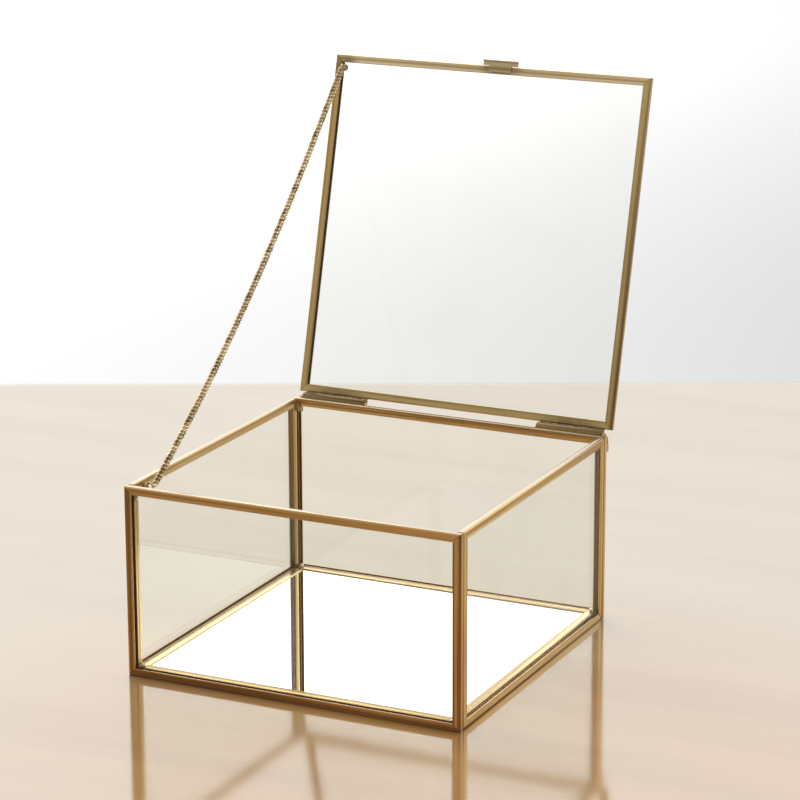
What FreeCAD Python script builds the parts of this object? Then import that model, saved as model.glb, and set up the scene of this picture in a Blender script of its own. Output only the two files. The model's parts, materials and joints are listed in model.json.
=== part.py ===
import FreeCAD, Part
import math
import os
import re

import Sketcher

from FreeCAD import Placement, Rotation, Vector

# A square display box of glass panes edged with folded brass channel, with a mirror floor and a
# hinged glass lid that a fine chain holds open. Millimetres. Z is up and the front faces -Y.
# Everything is drawn about the middle of the footprint and moved at the end, so that the origin
# is the middle of the underside of the open box's bounding box.

SIZES = {
    "box_width": 150.0,
    "box_depth": 150.0,
    "box_height": 81.5,
    "sheet_gauge": 0.45,
    "glass_gauge": 2.0,
    "glass_play": 0.05,
    "edge_play": 0.2,
    "channel_flange": 3.4,
    "bend_radius": 0.85,
    "mitre_gap": 0.1,
    "wall_joint": 0.3,
    "base_joint": 0.15,
    "base_top": 3.4,
    "lid_depth": 151.0,
    "lid_underside": 82.4,
    "open_angle": 105.1,
    "hinge_offset": 2.45,
    "hinge_level": 80.8,
    "barrel_radius": 2.1,
    "barrel_length": 30.0,
    "barrel_inset": 3.5,
    "wire_radius": 1.0,
    "wire_bend": 1.6,
    "pin_play": 0.05,
    "pin_leg": 5.0,
    "pin_inset": 1.6,
    "pin_solder_width": 2.6,
    "pin_solder_height": 3.6,
    "lid_solder_gap": 0.4,
    "lid_solder_height": 1.7,
    "tab_gauge": 0.5,
    "tab_head": 16.4,
    "tab_stem": 10.6,
    "tab_reach": 2.3,
    "tab_lip": 1.3,
    "tab_foot": 2.8,
    "tab_offset": 5.0,
    "ring_radius": 1.3,
    "ring_wire": 0.4,
    "ring_pad": 0.5,
    "chain_diameter": 3.0,
    "corner_leg": 1.5,
    "corner_height": 7.0,
    "floor_leg": 2.4,
    "floor_height": 0.8,
}

# What follows from the sizes above.
DERIVED = {
    "panel_gauge": "glass_gauge + 2 * glass_play + 2 * sheet_gauge",
    "side_width": "box_depth - 2 * panel_gauge - 2 * wall_joint",
    "base_width": "box_width - 2 * panel_gauge - 2 * base_joint",
    "base_depth": "box_depth - 2 * panel_gauge - 2 * base_joint",
    "pane_inset": "sheet_gauge + edge_play",
    "bore_radius": "wire_radius + pin_play",
    "ring_reach": "ring_radius + ring_wire",
    "wire_length": "barrel_inset + barrel_length - pin_inset - wire_bend + 0.6",
}

# Where the chain hangs while the lid is open, from its ring in the box to its ring on the lid.
# It sags a little between the two, and the halves part in the middle of the third run.
CHAIN_ROUTE = [
    (-68.3, -61.0, 79.2),
    (-68.6, -26.2, 101.6),
    (-69.0, 8.6, 127.1),
    (-69.4, 43.6, 155.8),
    (-69.8, 78.4, 187.3),
    (-70.2, 113.4, 221.8),
]
CHAIN_PARTING = 0.3
BOX_RING = Vector(0, -62.5, 78.6)
LID_RING = Vector(-70.2, -69.8, 0)

X_AXIS, Y_AXIS, Z_AXIS = Vector(1, 0, 0), Vector(0, 1, 0), Vector(0, 0, 1)

doc = FreeCAD.newDocument("jewelry_box")
sheet = doc.addObject("Spreadsheet::Sheet", "Sizes")
subparts = []


def fill_sheet():
    """One row for each size, with its name as its alias."""
    rows = [(alias, str(value)) for alias, value in SIZES.items()]
    rows += [(alias, "=" + formula) for alias, formula in DERIVED.items()]
    for number, (alias, content) in enumerate(rows, start=1):
        sheet.set(f"A{number}", alias)
        sheet.set(f"B{number}", content)
        sheet.setAlias(f"B{number}", alias)
    doc.recompute()


def size(alias):
    return float(sheet.get(alias))


def bind(obj, **expressions):
    """Binds properties to expressions in which the sheet's aliases stand as plain words."""
    for name, text in expressions.items():
        obj.setExpression(name, spelled(text))


def spelled(text):
    return re.sub(r"[a-z_]{4,}", lambda word: "Sizes." + word.group(), text)


def keep(obj, label, placement):
    """Makes an object a sub-part. Its label names its file."""
    obj.Label = label
    obj.Placement = placement
    subparts.append(obj)
    return obj


def polygon(body, name, role, corners):
    """A closed sketch on an origin plane. Each corner is two expressions, across and up."""
    sketch = body.newObject("Sketcher::SketchObject", name)
    plane = next(f for f in body.Origin.OriginFeatures if f.Role == role)
    sketch.AttachmentSupport = (plane, [""])
    sketch.MapMode = "FlatFace"
    texts = [(spelled(across), spelled(up)) for across, up in corners]
    places = [(sketch.evalExpression(across), sketch.evalExpression(up)) for across, up in texts]
    places = [Vector(float(across), float(up), 0) for across, up in places]
    following = places[1:] + places[:1]
    edges = [Part.LineSegment(a, b) for a, b in zip(places, following)]
    sketch.addGeometry(edges, False)
    count = len(edges)
    for i in range(count):
        sketch.addConstraint(Sketcher.Constraint("Coincident", i, 2, (i + 1) % count, 1))
    for i, (text, place) in enumerate(zip(texts, places)):
        for kind, expression, value in (("X", text[0], place.x), ("Y", text[1], place.y)):
            index = sketch.addConstraint(
                Sketcher.Constraint("Distance" + kind, -1, 1, i, 1, value)
            )
            sketch.setExpression(f"Constraints[{index}]", expression)
    return sketch


def pad(body, name, sketch, length, midplane=False):
    feature = body.newObject("PartDesign::Pad", name)
    feature.Profile = sketch
    feature.Midplane = midplane
    bind(feature, Length=length)
    sketch.Visibility = False
    return feature


def rail(label, length, placement):
    """A length of folded channel, mitred at both ends.

    It lies along X with its web down at Z = 0, its lips up and its ends cut back at 45 degrees.
    """
    body = doc.addObject("PartDesign::Body", label + "_body")
    half = "panel_gauge / 2"
    inner = "panel_gauge / 2 - sheet_gauge"
    section = [
        ("0 - " + half, "0"),
        (half, "0"),
        (half, "channel_flange"),
        (inner, "channel_flange"),
        (inner, "sheet_gauge"),
        ("0 - (" + inner + ")", "sheet_gauge"),
        ("0 - (" + inner + ")", "channel_flange"),
        ("0 - " + half, "channel_flange"),
    ]
    bar = pad(body, label + "_bar", polygon(body, label + "_section", "YZ_Plane", section), length, True)
    doc.recompute()
    bends = [
        f"Edge{number}"
        for number, edge in enumerate(bar.Shape.Edges, start=1)
        if edge.BoundBox.ZMax < 0.01 and edge.BoundBox.XLength > 1
    ]
    rounding = body.newObject("PartDesign::Fillet", label + "_bends")
    rounding.Base = (bar, bends)
    bind(rounding, Radius="bend_radius")
    end = f"(({length}) / 2 - mitre_gap)"
    for side, sign in (("near", "0 - "), ("far", "0 + ")):
        corners = [
            (f"{sign}{end}", "0"),
            (f"{sign}({end} + 1)", "0 - 1"),
            (f"{sign}({end} + 1)", "channel_flange + 1"),
            (f"{sign}({end} - channel_flange - 1)", "channel_flange + 1"),
        ]
        mitre = body.newObject("PartDesign::Pocket", f"{label}_{side}_mitre")
        mitre.Profile = polygon(body, f"{label}_{side}_corner", "XZ_Plane", corners)
        mitre.Type = "ThroughAll"
        mitre.Midplane = True
    return keep(body, label, placement)


def pane(label, width, height, placement):
    """A sheet of glass or mirror that stands in its four channels."""
    plate = doc.addObject("Part::Box", label + "_plate")
    bind(
        plate,
        Length=f"{width} - 2 * pane_inset",
        Width="glass_gauge",
        Height=f"{height} - 2 * pane_inset",
    )
    corner = Vector(
        size("pane_inset") - size_of(width) / 2,
        -size("glass_gauge") / 2,
        size("pane_inset") - size_of(height) / 2,
    )
    return keep(plate, label, placement * Placement(corner, Rotation()))


def size_of(text):
    return float(sheet.evalExpression(spelled(text)))


def panel(name, pane_name, width, height, placement):
    """Four mitred channels round a pane. The panel stands in the XZ plane about its middle."""
    across, up = size_of(width) / 2, size_of(height) / 2
    sides = (
        ("bottom", width, Vector(0, 0, -up), 0),
        ("top", width, Vector(0, 0, up), 180),
        ("left", height, Vector(-across, 0, 0), 90),
        ("right", height, Vector(across, 0, 0), -90),
    )
    for side, length, place, angle in sides:
        rail(f"{name}_rail_{side}", length, placement * Placement(place, Rotation(Y_AXIS, angle)))
    pane(pane_name, width, height, placement)


def wedge(label, leg, height, placement):
    """A three-cornered run of solder in the angle between the X and Y axes."""
    body = doc.addObject("PartDesign::Body", label + "_body")
    corners = [("0", "0"), (leg, "0"), ("0", leg)]
    pad(body, label + "_run", polygon(body, label + "_angle", "XY_Plane", corners), height)
    return keep(body, label, placement)


def cylinder(name, radius, height, placement):
    solid = doc.addObject("Part::Cylinder", name)
    bind(solid, Radius=radius, Height=height)
    solid.Placement = placement
    return solid


def cut(label, base, tool, placement):
    solid = doc.addObject("Part::Cut", label + "_cut")
    solid.Base, solid.Tool = base, tool
    return keep(solid, label, placement)


def box_walls():
    gauge = size("panel_gauge")
    middle = size("box_height") / 2
    across = size("box_width") / 2 - gauge / 2
    back = size("box_depth") / 2 - gauge / 2
    for name, place, angle, width in (
        ("front", Vector(0, -back, middle), 0, "box_width"),
        ("back", Vector(0, back, middle), 180, "box_width"),
        ("left", Vector(-across, 0, middle), -90, "side_width"),
        ("right", Vector(across, 0, middle), 90, "side_width"),
    ):
        panel(name, f"{name}_glass", width, "box_height", Placement(place, Rotation(Z_AXIS, angle)))


def box_floor():
    level = size("base_top") - size("panel_gauge") / 2
    flat = Placement(Vector(0, 0, level), Rotation(X_AXIS, -90))
    panel("base", "mirror", "base_width", "base_depth", flat)


def corner_solder():
    """Solder in the four inner corners of the walls, at the rim and on the floor's channels."""
    across = size("box_width") / 2 - size("panel_gauge")
    back = size("box_depth") / 2 - size("panel_gauge")
    rim = size("box_height") - size("corner_height") - 0.4
    for name, x, y, angle in (
        ("front_left", -across, -back, 0),
        ("front_right", across, -back, 90),
        ("back_right", across, back, 180),
        ("back_left", -across, back, 270),
    ):
        turn = Rotation(Z_AXIS, angle)
        wedge(f"rim_solder_{name}", "corner_leg", "corner_height", Placement(Vector(x, y, rim), turn))
        level = size("base_top")
        wedge(f"floor_solder_{name}", "floor_leg", "floor_height", Placement(Vector(x, y, level), turn))


def lid_swing():
    """Turns what is drawn with the lid shut to where it is with the lid open."""
    hinge = Vector(0, size("box_depth") / 2 + size("hinge_offset"), size("hinge_level"))
    return Placement(Vector(), Rotation(X_AXIS, -size("open_angle")), hinge)


def lid():
    """The lid's back edge is over the box's back edge, and its front edge overhangs a little."""
    level = size("lid_underside") + size("panel_gauge") / 2
    forward = (size("box_depth") - size("lid_depth")) / 2
    shut = Placement(Vector(0, forward, level), Rotation(X_AXIS, -90))
    panel("lid", "lid_glass", "box_width", "lid_depth", lid_swing() * shut)


def hinges():
    """A barrel soldered to the lid at each side, and a bent wire pin soldered to the box."""
    line = size("box_depth") / 2 + size("hinge_offset")
    level = size("hinge_level")
    edge = size("box_width") / 2
    along = Rotation(Y_AXIS, 90)
    for side, sign in (("left", -1), ("right", 1)):
        inset = size("barrel_inset")
        start = -edge + inset if sign < 0 else edge - inset - size("barrel_length")
        place = Placement(Vector(start, line, level), along)
        outer = cylinder(f"barrel_{side}", "barrel_radius", "barrel_length", place)
        bore = cylinder(f"bore_{side}", "bore_radius", "barrel_length", place)
        cut(f"hinge_barrel_{side}", outer, bore, lid_swing())

        block = doc.addObject("Part::Box", f"lid_solder_block_{side}")
        bind(block, Length="barrel_length", Width="hinge_offset", Height="lid_solder_height")
        foot = size("lid_underside") - size("lid_solder_gap")
        block.Placement.Base = Vector(start, size("box_depth") / 2, foot)
        round_tool = cylinder(f"lid_solder_tool_{side}", "barrel_radius", "barrel_length", place)
        cut(f"hinge_solder_{side}", block, round_tool, lid_swing())

        corner = Vector(sign * (edge - size("pin_inset")), line, level)
        turn = Rotation(Z_AXIS, 0 if sign < 0 else 180)
        hinge_pin(side, Placement(corner, turn))
        pin_solder(side, corner)


def hinge_pin(side, placement):
    """A wire that runs along X and bends down at the box's corner."""
    bend = size("wire_bend")
    run_place = Placement(Vector(bend, 0, 0), Rotation(Y_AXIS, 90))
    run = cylinder(f"pin_run_{side}", "wire_radius", "wire_length", run_place)
    leg_place = Placement(Vector(0, 0, -bend), Rotation(X_AXIS, 180))
    leg = cylinder(f"pin_leg_{side}", "wire_radius", "pin_leg", leg_place)
    elbow = doc.addObject("Part::Torus", f"pin_elbow_{side}")
    bind(elbow, Radius1="wire_bend", Radius2="wire_radius")
    elbow.Angle3 = 90
    elbow.Placement = Placement(Vector(bend, 0, -bend), Rotation(X_AXIS, 90) * Rotation(Z_AXIS, 90))
    wire = doc.addObject("Part::MultiFuse", f"pin_wire_{side}")
    wire.Shapes = [run, elbow, leg]
    keep(wire, f"hinge_pin_{side}", placement)


def pin_solder(side, corner):
    """Solder between a pin's leg and the back wall."""
    block = doc.addObject("Part::Box", f"pin_solder_block_{side}")
    bind(block, Length="pin_solder_width", Width="hinge_offset", Height="pin_solder_height")
    foot = corner.z - size("wire_bend") - size("pin_leg")
    start = corner.x - size("pin_solder_width") / 2
    block.Placement.Base = Vector(start, size("box_depth") / 2, foot)
    leg_place = Placement(Vector(corner.x, corner.y, foot), Rotation())
    leg = cylinder(f"pin_solder_tool_{side}", "wire_radius", "pin_leg", leg_place)
    cut(f"pin_solder_{side}", block, leg, Placement())


def lift_tab():
    """A T of sheet soldered under the lid's front channel, with its edge folded down."""
    body = doc.addObject("PartDesign::Body", "lift_tab_body")
    outline = [
        ("0 - tab_stem / 2", "tab_foot"),
        ("0 - tab_stem / 2", "0"),
        ("0 - tab_head / 2", "0"),
        ("0 - tab_head / 2", "0 - tab_reach"),
        ("tab_head / 2", "0 - tab_reach"),
        ("tab_head / 2", "0"),
        ("tab_stem / 2", "0"),
        ("tab_stem / 2", "tab_foot"),
    ]
    plate = pad(body, "tab_plate", polygon(body, "tab_outline", "XY_Plane", outline), "tab_gauge")
    plate.Reversed = True
    strip = [
        ("0 - tab_head / 2", "0 - tab_reach"),
        ("tab_head / 2", "0 - tab_reach"),
        ("tab_head / 2", "tab_gauge - tab_reach"),
        ("0 - tab_head / 2", "tab_gauge - tab_reach"),
    ]
    fold = pad(body, "tab_fold", polygon(body, "tab_strip", "XY_Plane", strip), "tab_lip")
    fold.Reversed = True
    front = size("box_depth") / 2 - size("lid_depth")
    edge = Vector(size("tab_offset"), front, size("lid_underside"))
    keep(body, "lift_tab", lid_swing() * Placement(edge, Rotation()))


def chain_rings():
    """The ring and its spot of solder at each end of the chain."""
    wall = size("panel_gauge") - size("box_width") / 2
    pad_gauge, reach = size("ring_pad"), size("ring_reach")
    box_middle = Vector(wall + pad_gauge + reach, BOX_RING.y, BOX_RING.z)
    lid_middle = Vector(LID_RING.x, LID_RING.y, size("lid_underside") - pad_gauge - reach)
    across = Rotation(Y_AXIS, 90)
    for name, middle, ring_turn, pad_place, swing in (
        ("box", box_middle, Rotation(X_AXIS, 90), Vector(wall, BOX_RING.y, BOX_RING.z), Placement()),
        ("lid", lid_middle, across, lid_middle + Vector(0, 0, reach), lid_swing()),
    ):
        ring = doc.addObject("Part::Torus", f"ring_{name}")
        bind(ring, Radius1="ring_radius", Radius2="ring_wire")
        keep(ring, f"chain_ring_{name}", swing * Placement(middle, ring_turn))
        pad_turn = across if name == "box" else Rotation()
        spot = cylinder(f"spot_{name}", "ring_radius", "ring_pad", Placement())
        keep(spot, f"chain_solder_{name}", swing * Placement(pad_place, pad_turn))


def chain_path(points):
    """Straight runs joined by tangent arcs."""
    edges, start = [], points[0]
    for before, corner, after in zip(points, points[1:], points[2:]):
        back, ahead = before - corner, after - corner
        turn = math.pi - back.getAngle(ahead)
        reach = 0.45 * min(back.Length, ahead.Length)
        back.normalize()
        ahead.normalize()
        radius = reach / math.tan(turn / 2)
        print(f"chain bend: radius {radius:.0f} mm, {math.degrees(turn):.1f} degrees")
        inside = back + ahead
        inside.normalize()
        middle = corner + inside * (radius / math.cos(turn / 2) - radius)
        entry, leave = corner + back * reach, corner + ahead * reach
        edges.append(Part.LineSegment(start, entry).toShape())
        edges.append(Part.Arc(entry, middle, leave).toShape())
        start = leave
    edges.append(Part.LineSegment(start, points[-1]).toShape())
    return Part.Wire(edges)


def chain():
    """The chain as two plain tubes that part at its middle, where a gap is left between them."""
    points = [Vector(*point) for point in CHAIN_ROUTE]
    run = points[3] - points[2]
    middle = (points[2] + points[3]) * 0.5
    run.normalize()
    halves = (
        ("chain_lower", points[:3] + [middle - run * (CHAIN_PARTING / 2)]),
        ("chain_upper", [middle + run * (CHAIN_PARTING / 2)] + points[3:]),
    )
    radius = size("chain_diameter") / 2
    for label, stretch in halves:
        path = chain_path(stretch)
        heading = stretch[1] - stretch[0]
        section = Part.Wire(Part.Circle(stretch[0], heading, radius).toShape())
        tube = doc.addObject("Part::Feature", label + "_tube")
        tube.Shape = path.makePipeShell([section], True, True)
        share = tube.Shape.Volume / (math.pi * radius**2 * path.Length)
        print(f"{label}: {path.Length:.1f} mm long, {share:.4f} of its section times its length")
        keep(tube, label, Placement())


def check_parts():
    """Stops at the first object that failed or has no sound shape."""
    for obj in doc.Objects:
        if {"Invalid", "Error"} & set(obj.State):
            raise RuntimeError(f"{obj.Name} did not compute: {obj.State}")
    for obj in subparts:
        if obj.Shape.isNull() or not obj.Shape.isValid():
            raise RuntimeError(f"{obj.Label} has no sound shape")


def set_origin():
    """Moves every sub-part so that the origin is under the middle of the open box."""
    whole = FreeCAD.BoundBox()
    for obj in subparts:
        if not obj.Label.startswith(("chain_lower", "chain_upper")):
            whole.add(obj.Shape.optimalBoundingBox(False))
    shift = Vector(-whole.Center.x, -whole.Center.y, -whole.ZMin)
    for obj in subparts:
        obj.Placement = Placement(shift, Rotation()) * obj.Placement
    hinge = Vector(0, size("box_depth") / 2 + size("hinge_offset"), size("hinge_level")) + shift
    print("moved by", tuple(round(v, 4) for v in shift), "hinge at", tuple(round(v, 4) for v in hinge))
    print("size", round(whole.XLength, 3), round(whole.YLength, 3), round(whole.ZLength, 3))


def export():
    os.makedirs("parts", exist_ok=True)
    for obj in subparts:
        obj.Shape.exportStep(f"parts/{obj.Label}.step")
    print(len(subparts), "sub-parts")


fill_sheet()
box_walls()
box_floor()
corner_solder()
lid()
hinges()
lift_tab()
chain_rings()
chain()
doc.recompute()
check_parts()
set_origin()
doc.recompute()
check_parts()
export()
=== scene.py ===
import json
import math
import random

import bmesh
import bpy
import numpy as np
from mathutils import Matrix, Vector


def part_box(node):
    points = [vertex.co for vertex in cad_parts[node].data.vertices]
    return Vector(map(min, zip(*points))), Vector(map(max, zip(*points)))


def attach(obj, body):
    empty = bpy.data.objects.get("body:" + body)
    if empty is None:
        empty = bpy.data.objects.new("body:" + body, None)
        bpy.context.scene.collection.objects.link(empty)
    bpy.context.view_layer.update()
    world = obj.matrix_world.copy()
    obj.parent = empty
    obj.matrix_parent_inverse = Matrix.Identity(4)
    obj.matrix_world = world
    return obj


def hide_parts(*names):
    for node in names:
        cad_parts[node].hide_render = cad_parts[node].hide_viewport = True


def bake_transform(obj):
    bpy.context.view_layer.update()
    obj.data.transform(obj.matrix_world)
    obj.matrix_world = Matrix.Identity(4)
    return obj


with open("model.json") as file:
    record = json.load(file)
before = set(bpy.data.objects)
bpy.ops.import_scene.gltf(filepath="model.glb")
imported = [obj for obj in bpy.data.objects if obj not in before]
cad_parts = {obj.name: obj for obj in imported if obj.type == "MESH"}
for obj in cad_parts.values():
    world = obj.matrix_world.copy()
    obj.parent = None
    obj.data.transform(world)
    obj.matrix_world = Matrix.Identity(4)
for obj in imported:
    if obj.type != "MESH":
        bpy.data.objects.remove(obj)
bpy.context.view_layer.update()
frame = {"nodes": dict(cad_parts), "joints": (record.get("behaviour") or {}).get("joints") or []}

# The looks of a brass and glass jewelry box. Metres, in the CAD's own frame: X to the right,
# -Y to the front, Z up.

NODES = frame["nodes"]
LID_JOINT = next(joint for joint in frame["joints"] if joint["name"] == "lid_hinge")
OPEN_ANGLE = math.radians(LID_JOINT["range_deg"][1])
MM = 0.001


def middle(node):
    low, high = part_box(node)
    return (low + high) / 2


# ---------------------------------------------------------------- materials

class Tree:
    """A material's or the world's node tree, with short ways to add nodes and join them."""

    def __init__(self, name, world=False):
        self.owner = (bpy.data.worlds if world else bpy.data.materials).new(name)
        self.owner.use_nodes = True
        self.nodes = self.owner.node_tree.nodes
        self.links = self.owner.node_tree.links
        self.nodes.clear()
        kind, space = ("World", "Generated") if world else ("Material", "Object")
        self.output = self.nodes.new("ShaderNodeOutput" + kind)
        self.place = self.nodes.new("ShaderNodeTexCoord").outputs[space]

    def add(self, kind, inputs=None, **settings):
        node = self.nodes.new("ShaderNode" + kind)
        for name, value in settings.items():
            setattr(node, name, value)
        for key, value in (inputs or {}).items():
            if isinstance(value, bpy.types.NodeSocket):
                self.links.new(value, node.inputs[key])
            else:
                node.inputs[key].default_value = value
        return node

    def math(self, operation, *values):
        return self.add("Math", dict(enumerate(values)), operation=operation).outputs[0]

    def stretched(self, scale, turn=0.0):
        """The place, turned about X and then scaled along each axis."""
        turned = self.add("Mapping", {"Vector": self.place, "Rotation": (turn, 0.0, 0.0)})
        return self.add("Mapping", {"Vector": turned.outputs[0], "Scale": scale}).outputs[0]

    def reach(self, axis):
        """How far a place is along an axis."""
        node = self.add("VectorMath", {0: self.place, 1: axis}, operation="DOT_PRODUCT")
        return node.outputs["Value"]

    def noise(self, scale, detail=3.0, vector=None, roughness=0.5):
        inputs = {"Vector": vector or self.place, "Scale": scale, "Detail": detail,
                  "Roughness": roughness}
        return self.add("TexNoise", inputs).outputs["Fac"]

    def ramp(self, value, *stops):
        """Maps a value to colours, each stop a place and a colour."""
        node = self.add("ValToRGB", {"Fac": value})
        band = node.color_ramp
        while len(band.elements) < len(stops):
            band.elements.new(0.5)
        for element, (place, colour) in zip(band.elements, stops):
            element.position = place
            element.color = (*colour, 1.0)
        return node.outputs["Color"]

    def greys(self, value, *stops):
        return self.ramp(value, *((place, (grey,) * 3) for place, grey in stops))

    def between(self, value, low, high, start=0.0, end=1.0):
        """Eases from start to end as a value goes from low to high, and stays there past them."""
        inputs = {"Value": value, "From Min": low, "From Max": high, "To Min": start, "To Max": end}
        return self.add("MapRange", inputs, interpolation_type="SMOOTHSTEP").outputs[0]

    def mix(self, share, a, b):
        node = self.add("Mix", data_type="RGBA")
        for socket, value in ((node.inputs[0], share), (node.inputs[6], a), (node.inputs[7], b)):
            if isinstance(value, bpy.types.NodeSocket):
                self.links.new(value, socket)
            elif isinstance(value, tuple):
                socket.default_value = (*value, 1.0)
            else:
                socket.default_value = value
        return node.outputs[2]

    def near(self, centre, reach):
        """1 at a place and 0 past its reach along each axis."""
        offset = self.add("VectorMath", {0: self.place, 1: centre}, operation="SUBTRACT").outputs[0]
        shares = self.add("VectorMath", {0: offset, 1: reach}, operation="DIVIDE").outputs[0]
        far = self.add("VectorMath", {0: shares}, operation="LENGTH").outputs["Value"]
        return self.between(far, 1.0, 0.35)

    def bump(self, height, strength, distance):
        inputs = {"Height": height, "Strength": strength, "Distance": distance}
        return self.add("Bump", inputs).outputs[0]

    def finish(self, shader):
        self.links.new(shader, self.output.inputs["Surface"])
        return self.owner


BRASS_METALLIC = 0.84
HEAT_OLIVE = (0.24, 0.18, 0.08)
HEAT_BROWN = (0.30, 0.17, 0.09)


def metal(tree, colour, roughness, normal, metallic=1.0):
    inputs = {"Base Color": colour, "Metallic": metallic, "Roughness": roughness, "Normal": normal}
    return tree.add("BsdfPrincipled", inputs).outputs[0]


def brass(name, run, light, dark, stain, spots=(), gloss=0.14, turn=0.0, top_shade=None):
    """Rolled sheet brass, streaked along its run and browned by heat near each spot.

    The run is the axis that the strip lies along, once it is turned about X. Faces that point up
    can get a painted shade: a duller, darker colour that tones down their highlight.
    """
    tree = Tree(name)
    long = tuple(3.0 if axis == run else 420.0 for axis in "XYZ")
    broad = tuple(9.0 if axis == run else 60.0 for axis in "XYZ")
    streak = tree.noise(1.0, 4.0, tree.stretched(long, turn), 0.55)
    drift = tree.noise(1.0, 3.0, tree.stretched(broad, turn))
    fleck = tree.noise(520.0, 3.0, roughness=0.6)
    colour = tree.mix(tree.between(drift, 0.34, 0.66), light, dark)
    colour = tree.mix(tree.between(streak, 0.44, 0.62, 0.0, 0.9), colour, stain)
    colour = tree.mix(tree.between(fleck, 0.62, 0.8, 0.0, 0.35), colour, stain)
    # Painted shade: faces that point up are pulled towards a dull dark brass, to tone down their
    # highlight.
    if top_shade:
        normal = tree.add("NewGeometry").outputs["Normal"]
        level = tree.add("SeparateXYZ", {0: normal}).outputs["Z"]
        colour = tree.mix(tree.between(level, 0.4, 0.85, 0.0, 0.9), colour, top_shade)
    heat = None
    for centre, reach in spots:
        here = tree.near(centre, reach)
        heat = here if heat is None else tree.math("MAXIMUM", heat, here)
    rough = tree.between(streak, 0.3, 0.75, gloss, gloss + 0.14)
    if heat is not None:
        patchy = tree.between(tree.noise(230.0, 4.0), 0.25, 0.6, 0.55, 1.0)
        ragged = tree.math("MULTIPLY", heat, patchy)
        burnt = tree.mix(tree.between(tree.noise(300.0, 2.0), 0.4, 0.65), HEAT_OLIVE, HEAT_BROWN)
        colour = tree.mix(ragged, colour, burnt)
        rough = tree.math("ADD", rough, tree.math("MULTIPLY", ragged, 0.16))
    waves = tree.math("ADD", tree.noise(30.0, 2.0), tree.math("MULTIPLY", streak, 0.05))
    return tree.finish(metal(tree, colour, rough, tree.bump(waves, 0.1, 0.0004), BRASS_METALLIC))


def solder_metal():
    tree = Tree("solder")
    cloud = tree.noise(500.0, 4.0)
    colour = tree.ramp(
        cloud, (0.3, (0.18, 0.13, 0.07)), (0.5, (0.46, 0.37, 0.22)), (0.72, (0.70, 0.60, 0.42)),
    )
    rough = tree.between(tree.noise(900.0, 3.0), 0.3, 0.7, 0.28, 0.55)
    return tree.finish(metal(tree, colour, rough, tree.bump(cloud, 0.5, 0.0003)))


def clear_glass():
    """Thin float glass: it passes light straight on and mirrors more at a slant."""
    tree = Tree("clear_glass")
    facing = tree.add("LayerWeight", {"Blend": 0.5}).outputs["Facing"]
    sheen = tree.math("ADD", tree.math("MULTIPLY", tree.math("POWER", facing, 5.0), 0.7), 0.025)
    smear = tree.between(tree.noise(24.0, 3.0), 0.45, 0.8)
    passed = tree.mix(smear, (0.985, 0.988, 0.975), (0.972, 0.976, 0.96))
    through = tree.add("BsdfTransparent", {"Color": passed}).outputs[0]
    gloss = tree.add("BsdfGlossy", {"Color": (0.95, 0.97, 0.95, 1.0), "Roughness": 0.015})
    both = tree.add("MixShader", {0: sheen, 1: through, 2: gloss.outputs[0]}).outputs[0]
    return tree.finish(both)


def silvered_mirror():
    tree = Tree("silvered_mirror")
    dust = tree.between(tree.noise(1400.0, 2.0), 0.66, 0.8)
    colour = tree.mix(tree.math("MULTIPLY", dust, 0.25), (0.95, 0.955, 0.95), (0.84, 0.83, 0.8))
    rough = tree.between(tree.noise(60.0, 3.0), 0.4, 0.8, 0.01, 0.04)
    inputs = {"Base Color": colour, "Metallic": 1.0, "Roughness": rough}
    return tree.finish(tree.add("BsdfPrincipled", inputs).outputs[0])


def table_top(edge):
    """A brown polished table, with painted shade in a pool around the box, that ends in a straight
    edge, with a white backdrop past it that carries painted shade as well.
    """
    tree = Tree("table_top")
    depth, side = tree.reach(LOOK), tree.reach(SIDE)
    away = tree.between(depth, edge - EDGE_BLUR, edge + EDGE_BLUR)
    grain = tree.noise(4.0, 3.0, vector=tree.stretched((0.6, 5.0, 1.0)))
    pale = tree.mix(tree.between(grain, 0.3, 0.75), (0.36, 0.28, 0.17), (0.32, 0.24, 0.14))
    shaded_wood = tree.mix(tree.between(grain, 0.3, 0.75), (0.38, 0.21, 0.075), (0.31, 0.16, 0.05))
    # Painted shade: the wood turns darker and warmer in a pool around the box.
    shade_pool = tree.near(SHADE_POOL_PLACE, SHADE_POOL_REACH)
    wood = tree.mix(tree.math("MULTIPLY", shade_pool, 0.95), pale, shaded_wood)
    # Painted shade on the white backdrop: darker towards the right, and darker close to the table's
    # edge.
    shade = tree.between(side, -0.4, 0.6, 1.18, 0.73)
    reach = tree.between(depth, edge, edge + 1.5, 0.71, 1.0)
    wall = tree.math("MULTIPLY", reach, shade)
    white = tree.add("CombineColor", {0: wall, 1: wall, 2: wall}).outputs[0]
    colour = tree.mix(away, wood, white)
    rough = tree.math("ADD", 0.09, tree.math("MULTIPLY", away, 0.8))
    level = tree.math("SUBTRACT", 0.9, tree.math("MULTIPLY", away, 0.9))
    inputs = {"Base Color": colour, "Roughness": rough, "Specular IOR Level": level, "IOR": 1.6}
    return tree.finish(tree.add("BsdfPrincipled", inputs).outputs[0])


# ---------------------------------------------------------------- stage

CAMERA_TURN = math.radians(25.72)
CAMERA_RISE = math.radians(15.67)
CAMERA_ROLL = math.radians(-0.15)
CAMERA_DISTANCE = 1.3034
CAMERA_AIM = Vector((0.0132, 0.0, 0.1091))
CAMERA_LENS = 142.73
LOOK = Vector((-math.sin(CAMERA_TURN), math.cos(CAMERA_TURN), 0.0))
SIDE = Vector((math.cos(CAMERA_TURN), math.sin(CAMERA_TURN), 0.0))
TABLE_EDGE = 0.395
EDGE_BLUR = 0.004
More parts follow.
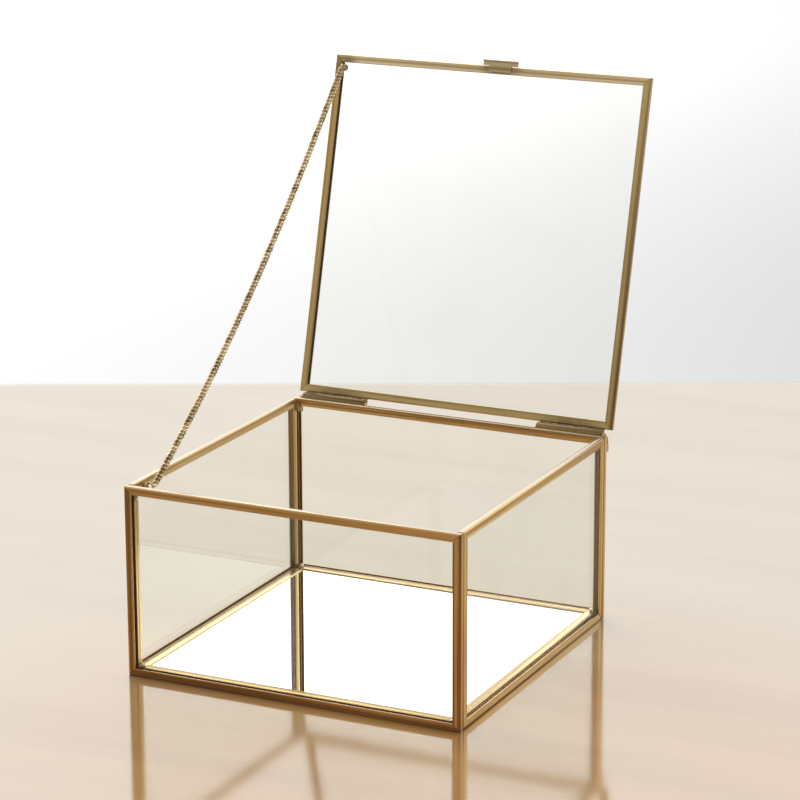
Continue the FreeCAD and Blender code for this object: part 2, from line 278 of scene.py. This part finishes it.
# Where the painted shade on the table around the box lies, and how far it reaches.
SHADE_POOL_PLACE = (0.12, -0.14, 0.0)
SHADE_POOL_REACH = (0.34, 0.26, 1.0)
FLOOR_HALF = 6.0
ROOM_STRENGTH = 3.2


def footprint_middle():
    low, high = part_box("front_rail_bottom")
    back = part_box("back_rail_bottom")[1]
    return Vector(((low.x + high.x) / 2, (low.y + back.y) / 2, 0.0))


def camera():
    away = Vector((
        math.sin(CAMERA_TURN) * math.cos(CAMERA_RISE),
        -math.cos(CAMERA_TURN) * math.cos(CAMERA_RISE),
        math.sin(CAMERA_RISE),
    ))
    aim = footprint_middle() + CAMERA_AIM
    lens = bpy.data.cameras.new("camera")
    lens.lens = CAMERA_LENS
    lens.sensor_width = 36.0
    lens.clip_end = 100.0
    view = bpy.data.objects.new("camera", lens)
    bpy.context.scene.collection.objects.link(view)
    turn = (-away).to_track_quat("-Z", "Y").to_matrix().to_4x4()
    place = Matrix.Translation(aim + away * CAMERA_DISTANCE)
    view.matrix_world = place @ turn @ Matrix.Rotation(CAMERA_ROLL, 4, "Z")
    bpy.context.scene.camera = view


def area_lamp(name, place, aim, size, power):
    lamp = bpy.data.lights.new(name, "AREA")
    lamp.shape = "DISK"
    lamp.size = size
    lamp.energy = power
    holder = bpy.data.objects.new(name, lamp)
    bpy.context.scene.collection.objects.link(holder)
    holder.location = place
    holder.rotation_euler = (Vector(aim) - Vector(place)).to_track_quat("-Z", "Y").to_euler()


def room_light():
    """White all round, brightest behind the object and dim on the camera's side."""
    tree = Tree("room_light", world=True)
    depth, side = tree.reach(LOOK), tree.reach(SIDE)
    height = tree.add("SeparateXYZ", {0: tree.place}).outputs["Z"]
    share = tree.between(depth, -1.0, 1.0)
    behind = tree.greys(share, (0.0, 0.26), (0.3, 0.32), (0.62, 0.5), (0.95, 1.0))
    rise = tree.greys(height, (0.0, 0.4), (0.27, 0.72), (0.4, 1.0), (1.0, 0.6))
    slant = tree.math("SUBTRACT", 1.0, tree.math("MULTIPLY", side, 0.2))
    level = tree.math("MULTIPLY", tree.math("MULTIPLY", behind, rise), slant)
    background = tree.add("Background", {"Strength": tree.math("MULTIPLY", level, ROOM_STRENGTH)})
    bpy.context.scene.world = tree.finish(background.outputs[0])


def studio():
    room_light()
    area_lamp("window", (-1.2, 1.4, 1.9), (0, 0, 0.05), 1.4, 14.0)
    bpy.context.scene.view_settings.view_transform = "Standard"

    mesh = bpy.data.meshes.new("floor")
    corners = [(x * FLOOR_HALF, y * FLOOR_HALF, 0) for x, y in ((-1, -1), (1, -1), (1, 1), (-1, 1))]
    mesh.from_pydata(corners, [], [(0, 1, 2, 3)])
    floor = bpy.data.objects.new("floor", mesh)
    bpy.context.scene.collection.objects.link(floor)
    mesh.materials.append(table_top(TABLE_EDGE))


# ---------------------------------------------------------------- chain

# The same route as in the CAD source, shifted to its origin.
CHAIN_ROUTE = [
    (-0.0683, -0.08434, 0.0792),
    (-0.0686, -0.04954, 0.1016),
    (-0.0690, -0.01474, 0.1271),
    (-0.0694, 0.02026, 0.1558),
    (-0.0698, 0.05506, 0.1873),
    (-0.0702, 0.09006, 0.2218),
]
LINK_PITCH = 1.9 * MM
LINK_LENGTH = 3.5 * MM
LINK_WIDTH = 2.9 * MM
LINK_WIRE = 0.92 * MM
LINK_TWIST = 0.55 * MM
LINK_SIDES = 22
WIRE_SIDES = 8


def route_line(points):
    """Points down the middle of a smooth spline with the route's points as its control points."""
    curve = bpy.data.curves.new("route", "CURVE")
    curve.dimensions = "3D"
    curve.resolution_u = 40
    spline = curve.splines.new("NURBS")
    spline.points.add(len(points) - 1)
    for control, place in zip(spline.points, points):
        control.co = (*place, 1.0)
    spline.order_u = 3
    spline.use_endpoint_u = True
    holder = bpy.data.objects.new("route", curve)
    mesh = bpy.data.meshes.new_from_object(holder)
    line = [v.co.copy() for v in mesh.vertices]
    bpy.data.objects.remove(holder)
    return line


def along(line, step):
    """Places and headings a step apart along a line."""
    lengths = [0.0]
    for a, b in zip(line, line[1:]):
        lengths.append(lengths[-1] + (b - a).length)
    total = lengths[-1]
    count = round(total / step)
    found, i = [], 0
    for k in range(count + 1):
        want = min(total * k / count, total - 1e-9)
        while lengths[i + 1] < want:
            i += 1
        share = (want - lengths[i]) / (lengths[i + 1] - lengths[i])
        found.append((line[i].lerp(line[i + 1], share), (line[i + 1] - line[i]).normalized()))
    return found, total


def link_ring(centre, heading, flat):
    """One link of curb chain: a loop of wire, twisted so that it lies in the next one."""
    across = flat.cross(heading).normalized()
    reach = (LINK_LENGTH - LINK_WIRE) / 2
    breadth = (LINK_WIDTH - LINK_WIRE) / 2
    rounds = []
    for k in range(LINK_SIDES):
        a = 2 * math.pi * k / LINK_SIDES
        point = Vector((reach * math.cos(a), breadth * math.sin(a), LINK_TWIST * math.sin(2 * a)))
        twist = 2 * LINK_TWIST * math.cos(2 * a)
        onward = Vector((-reach * math.sin(a), breadth * math.cos(a), twist))
        onward.normalize()
        side = Vector((0, 0, 1)).cross(onward).normalized()
        rise = onward.cross(side)
        ring = []
        for s in range(WIRE_SIDES):
            b = 2 * math.pi * s / WIRE_SIDES
            p = point + (side * math.cos(b) + rise * math.sin(b)) * LINK_WIRE / 2
            ring.append(centre + heading * p.x + across * p.y + flat * p.z)
        rounds.append(ring)
    return rounds


def loop_faces(start, rounds, sides):
    faces = []
    for k in range(rounds):
        for s in range(sides):
            a = start + k * sides + s
            b = start + k * sides + (s + 1) % sides
            c = start + ((k + 1) % rounds) * sides + (s + 1) % sides
            d = start + ((k + 1) % rounds) * sides + s
            faces.append((a, d, c, b))
    return faces


def new_piece(name, verts, faces, material):
    mesh = bpy.data.meshes.new(name)
    mesh.from_pydata([tuple(v) for v in verts], [], faces)
    mesh.update()
    mesh.shade_smooth()
    mesh.materials.append(material)
    piece = bpy.data.objects.new(name, mesh)
    bpy.context.scene.collection.objects.link(piece)
    return piece


def chain(material):
    line = route_line(CHAIN_ROUTE)
    places, total = along(line, LINK_PITCH)
    rng = random.Random(5)
    verts, faces = [], []
    for k, (place, heading) in enumerate(places):
        lean = math.radians(24 + 9 * math.sin(k * 0.21) + rng.uniform(-4, 4))
        up = Vector((0, -heading.z, heading.y)).normalized()
        flat = up * math.cos(lean) + Vector((1, 0, 0)) * math.sin(lean)
        flat = (flat - heading * flat.dot(heading)).normalized()
        rounds = link_ring(place, heading, flat)
        faces += loop_faces(len(verts), LINK_SIDES, WIRE_SIDES)
        verts += [p for ring in rounds for p in ring]
    piece = new_piece("stay_chain", verts, faces, material)
    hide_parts("chain_lower", "chain_upper")
    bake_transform(piece)


# ---------------------------------------------------------------- solder

def lump(name, body, node, centre, reach, material, seed):
    """A spot of solder: a rounded blob, uneven all over, in place of a plain CAD solid."""
    rng = random.Random(seed)
    waves = [(Vector([rng.uniform(-1, 1) for _ in range(3)]).normalized() * rng.uniform(2, 5),
              rng.uniform(0, 6.28), rng.uniform(0.04, 0.1)) for _ in range(7)]
    form = bmesh.new()
    bmesh.ops.create_icosphere(form, subdivisions=4, radius=1.0)
    for v in form.verts:
        swell = 1.0 + sum(size * math.sin(wave.dot(v.co) + phase) for wave, phase, size in waves)
        local = Vector((v.co.x * reach[0], v.co.y * reach[1], v.co.z * reach[2])) * swell
        v.co = Vector(centre) + local
    mesh = bpy.data.meshes.new(name)
    form.to_mesh(mesh)
    form.free()
    mesh.shade_smooth()
    mesh.materials.append(material)
    piece = bpy.data.objects.new(name, mesh)
    bpy.context.scene.collection.objects.link(piece)
    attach(piece, body)
    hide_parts(node)


# Half sizes of the lumps of solder, in millimetres. The front left one is short and set low,
# clear of the ring that the shut lid brings down beside it.
RIM_LUMPS = {
    "front_left": (0.9, 0.9, 1.4),
    "front_right": (1.1, 1.1, 3.4),
    "back_left": (0.9, 0.9, 2.2),
    "back_right": (0.9, 0.9, 2.2),
}
FLOOR_LUMP = (1.7, 1.7, 0.6)
CHAIN_LUMP = (1.5, 1.5, 1.4)
LUMP_INSET = 0.25 * MM
FRONT_LEFT_DROP = 1.8 * MM
FIRST_SEED = 11


def solder_spots(material):
    seed = FIRST_SEED
    for corner, rim_lump in RIM_LUMPS.items():
        for kind, reach in (("rim_solder", rim_lump), ("floor_solder", FLOOR_LUMP)):
            node = f"{kind}_{corner}"
            seed += 1
            low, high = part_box(node)
            inward = Vector((1 if "left" in corner else -1, 1 if "front" in corner else -1, 0))
            centre = (low + high) / 2 - inward * LUMP_INSET
            if node == "rim_solder_front_left":
                centre.z -= FRONT_LEFT_DROP
            lump(f"{node}_spot", "box", node, centre, [r * MM for r in reach], material, seed)
    for name, body in (("chain_solder_box", "box"), ("chain_solder_lid", "lid")):
        seed += 1
        reach = [r * MM for r in CHAIN_LUMP]
        lump(name + "_spot", body, name, middle(name), reach, material, seed)


# ---------------------------------------------------------------- carried-over CAD nodes

RAIL_EDGE = 0.1 * MM
SMALL_EDGE = 0.06 * MM
SOLDER_EDGE = 0.25 * MM
# A dull dark brass, painted as shade on the walls' upward faces.
TOP_SHADE_BRASS = (0.42, 0.33, 0.22)


def dress(node, material, edge=0.0):
    """Gives a CAD node its material, and softens its edges a little."""
    piece = NODES[node]
    piece.data.materials.clear()
    piece.data.materials.append(material)
    if edge:
        weld = piece.modifiers.new("weld", "WELD")
        weld.merge_threshold = 1e-6
        bevel = piece.modifiers.new("edges", "BEVEL")
        bevel.width = edge
        bevel.segments = 2
        bevel.limit_method = "ANGLE"
        bevel.angle_limit = math.radians(35)


def rail_brass():
    """Sheet brass for each rail: a light, a dark and a stain tone for each panel. The tones differ
    between panels, and for a few single rails, as painted light and shade: lit and shaded copies of
    one brass.
    """
    # Painted light and shade: lighter and darker copies of one brass for the way each panel faces,
    # the front darkest and the right lightest of the walls.
    panel_light_shade_tones = {
        "front": ((0.78, 0.47, 0.18), (0.55, 0.31, 0.10), (0.25, 0.12, 0.04)),
        "right": ((0.92, 0.64, 0.25), (0.70, 0.44, 0.14), (0.34, 0.18, 0.06)),
        "back": ((0.84, 0.54, 0.20), (0.64, 0.38, 0.13), (0.32, 0.17, 0.06)),
        "left": ((0.84, 0.62, 0.30), (0.70, 0.49, 0.21), (0.40, 0.25, 0.10)),
        "base": ((0.84, 0.70, 0.38), (0.72, 0.56, 0.26), (0.36, 0.24, 0.09)),
        "lid": ((0.80, 0.59, 0.27), (0.66, 0.45, 0.17), (0.38, 0.24, 0.08)),
    }
    # Painted light and shade on single rails: the base's bottom rail darker by the floor, the lid's
    # bottom rail lighter, its top and right rails darker.
    rail_light_shade_tones = {
        "base_rail_bottom": ((0.52, 0.36, 0.13), (0.42, 0.27, 0.09), (0.22, 0.13, 0.04)),
        "lid_rail_bottom": ((0.88, 0.71, 0.43), (0.74, 0.56, 0.31), (0.46, 0.32, 0.15)),
        "lid_rail_top": ((0.70, 0.52, 0.23), (0.56, 0.39, 0.14), (0.30, 0.19, 0.07)),
        "lid_rail_right": ((0.66, 0.46, 0.21), (0.50, 0.33, 0.13), (0.27, 0.165, 0.06)),
    }
    barrels = [middle("hinge_barrel_left"), middle("hinge_barrel_right")]
    spots = [(tuple(place), (0.021, 0.008, 0.008)) for place in barrels]
    spots.append((tuple(middle("chain_ring_lid")), (0.009, 0.009, 0.009)))
    spots.append((tuple(middle("lift_tab")), (0.013, 0.006, 0.006)))
    found = {}
    for panel, tone in panel_light_shade_tones.items():
        for side in ("bottom", "top", "left", "right"):
            if side in ("bottom", "top"):
                run = "Y" if panel in ("left", "right") else "X"
            else:
                run = "Y" if panel in ("base", "lid") else "Z"
            key = f"{panel}_rail_{side}"
            shades = rail_light_shade_tones.get(key, tone)
            if panel == "lid":
                found[key] = brass(key + "_brass", run, *shades, spots=spots, turn=OPEN_ANGLE)
            elif panel == "base":
                found[key] = brass(key + "_brass", run, *shades)
            else:
                found[key] = brass(key + "_brass", run, *shades, top_shade=TOP_SHADE_BRASS)
    return found


def dress_all():
    rails = rail_brass()
    dull = brass("hinge_brass", "X", (0.30, 0.20, 0.08), (0.21, 0.135, 0.05),
                 (0.11, 0.065, 0.025), gloss=0.32)
    tab = brass("tab_brass", "X", (0.62, 0.50, 0.26), (0.50, 0.38, 0.18),
                (0.28, 0.20, 0.08), gloss=0.26)
    bright = brass("chain_brass", "Y", (0.92, 0.77, 0.50), (0.72, 0.55, 0.31),
                   (0.36, 0.24, 0.10), gloss=0.1)
    glass = clear_glass()
    mirror = silvered_mirror()
    solder = solder_metal()
    for node in NODES:
        if node in rails:
            dress(node, rails[node], RAIL_EDGE)
        elif node.endswith("_glass"):
            dress(node, glass)
        elif node == "mirror":
            dress(node, mirror)
        elif node.startswith("hinge_barrel"):
            dress(node, dull, SMALL_EDGE)
        elif node.startswith(("hinge_pin", "pin_solder")):
            dress(node, rails["back_rail_right"], SMALL_EDGE)
        elif node == "lift_tab":
            dress(node, tab, SMALL_EDGE)
        elif node.startswith("chain_ring"):
            dress(node, bright)
        elif "solder" in node:
            dress(node, solder, SOLDER_EDGE)
    chain(bright)
    solder_spots(solder)


camera()
studio()
dress_all()
